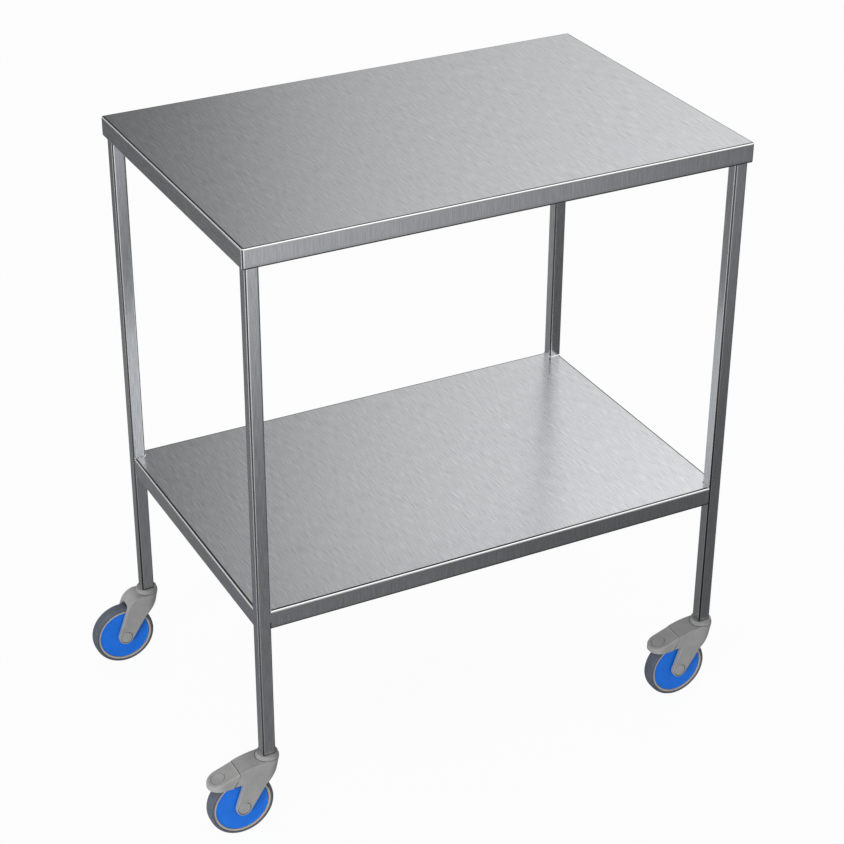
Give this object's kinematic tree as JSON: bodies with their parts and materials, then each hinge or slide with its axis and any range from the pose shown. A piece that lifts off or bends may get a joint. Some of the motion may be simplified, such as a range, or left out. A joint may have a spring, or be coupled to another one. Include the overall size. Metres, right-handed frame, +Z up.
{
  "type": "dressing trolley",
  "caption": "Hospital dressing trolley with a folded steel top and lower shelf on square tube legs and swivel casters, some with a brake pedal.",
  "frame": {"origin": "middle of the overall box, casters included, at floor level", "axes": "+Z up, +X along the long side of the top, away from the side to which the casters trail, +Y towards the side without brakes"},
  "size_m": [0.8585, 0.5148, 0.929],
  "materials": {
    "sheet_steel": "brushed stainless sheet",
    "tube_steel": "brushed stainless square tube",
    "plated_steel": "bright plated steel",
    "bearing_steel": "ground steel",
    "housing_plastic": "moulded mid grey",
    "collar_plastic": "moulded mid grey, slightly glossier",
    "cover_plastic": "smooth strong blue",
    "rim_plastic": "warm light grey",
    "tyre_rubber": "smooth dark slate grey, non-marking",
    "bearing_plastic": "white low-friction plastic",
    "plug_plastic": "black",
    "pad_rubber": "black"
  },
  "bodies": {
    "frame": {"top_tray": "sheet_steel", "top_stiffeners": "sheet_steel", "lower_shelf": "sheet_steel", "shelf_stiffeners": "sheet_steel", "leg_front_left": "tube_steel", "leg_front_right": "tube_steel", "leg_back_left": "tube_steel", "leg_back_right": "tube_steel", "leg_plugs": "plug_plastic", "stems": "plated_steel", "collar_front_left": "collar_plastic", "collar_front_right": "collar_plastic", "collar_back_left": "collar_plastic", "collar_back_right": "collar_plastic"},
    "caster_front_left": {"fork_front_left": "housing_plastic", "bushing_front_left": "bearing_plastic", "axle_front_left": "plated_steel", "sleeves_front_left": "plated_steel", "caps_front_left": "housing_plastic", "pedal_pins_front_left": "plated_steel"},
    "wheel_front_left": {"wheel_core_front_left": "rim_plastic", "tyre_front_left": "tyre_rubber", "covers_front_left": "cover_plastic", "bearings_front_left": "bearing_steel"},
    "brake_front_left": {"pedal_front_left": "housing_plastic", "pad_front_left": "pad_rubber"},
    "caster_front_right": {"fork_front_right": "housing_plastic", "bushing_front_right": "bearing_plastic", "axle_front_right": "plated_steel", "sleeves_front_right": "plated_steel", "caps_front_right": "housing_plastic", "pedal_pins_front_right": "plated_steel"},
    "wheel_front_right": {"wheel_core_front_right": "rim_plastic", "tyre_front_right": "tyre_rubber", "covers_front_right": "cover_plastic", "bearings_front_right": "bearing_steel"},
    "brake_front_right": {"pedal_front_right": "housing_plastic", "pad_front_right": "pad_rubber"},
    "caster_back_left": {"fork_back_left": "housing_plastic", "bushing_back_left": "bearing_plastic", "axle_back_left": "plated_steel", "sleeves_back_left": "plated_steel", "caps_back_left": "housing_plastic"},
    "wheel_back_left": {"wheel_core_back_left": "rim_plastic", "tyre_back_left": "tyre_rubber", "covers_back_left": "cover_plastic", "bearings_back_left": "bearing_steel"},
    "caster_back_right": {"fork_back_right": "housing_plastic", "bushing_back_right": "bearing_plastic", "axle_back_right": "plated_steel", "sleeves_back_right": "plated_steel", "caps_back_right": "housing_plastic"},
    "wheel_back_right": {"wheel_core_back_right": "rim_plastic", "tyre_back_right": "tyre_rubber", "covers_back_right": "cover_plastic", "bearings_back_right": "bearing_steel"}
  },
  "joints": [
    {"name": "swivel_front_left", "type": "hinge", "parent": "frame", "child": "caster_front_left", "pos_m": [-0.33427, -0.239, 0.119], "axis": [0, 0, 1], "continuous": true},
    {"name": "wheel_front_left_spin", "type": "hinge", "parent": "caster_front_left", "child": "wheel_front_left", "pos_m": [-0.37927, -0.239, 0.05], "axis": [0, 1, 0], "continuous": true},
    {"name": "pedal_front_left_press", "type": "hinge", "parent": "caster_front_left", "child": "brake_front_left", "pos_m": [-0.39627, -0.239, 0.096], "axis": [0, -1, 0], "range_deg": [0, 8]},
    {"name": "swivel_front_right", "type": "hinge", "parent": "frame", "child": "caster_front_right", "pos_m": [0.41173, -0.239, 0.119], "axis": [0, 0, 1], "continuous": true},
    {"name": "wheel_front_right_spin", "type": "hinge", "parent": "caster_front_right", "child": "wheel_front_right", "pos_m": [0.36673, -0.239, 0.05], "axis": [0, 1, 0], "continuous": true},
    {"name": "pedal_front_right_press", "type": "hinge", "parent": "caster_front_right", "child": "brake_front_right", "pos_m": [0.34973, -0.239, 0.096], "axis": [0, -1, 0], "range_deg": [0, 8]},
    {"name": "swivel_back_left", "type": "hinge", "parent": "frame", "child": "caster_back_left", "pos_m": [-0.33427, 0.239, 0.119], "axis": [0, 0, 1], "continuous": true},
    {"name": "wheel_back_left_spin", "type": "hinge", "parent": "caster_back_left", "child": "wheel_back_left", "pos_m": [-0.37927, 0.239, 0.05], "axis": [0, 1, 0], "continuous": true},
    {"name": "swivel_back_right", "type": "hinge", "parent": "frame", "child": "caster_back_right", "pos_m": [0.41173, 0.239, 0.119], "axis": [0, 0, 1], "continuous": true},
    {"name": "wheel_back_right_spin", "type": "hinge", "parent": "caster_back_right", "child": "wheel_back_right", "pos_m": [0.36673, 0.239, 0.05], "axis": [0, 1, 0], "continuous": true}
  ]
}
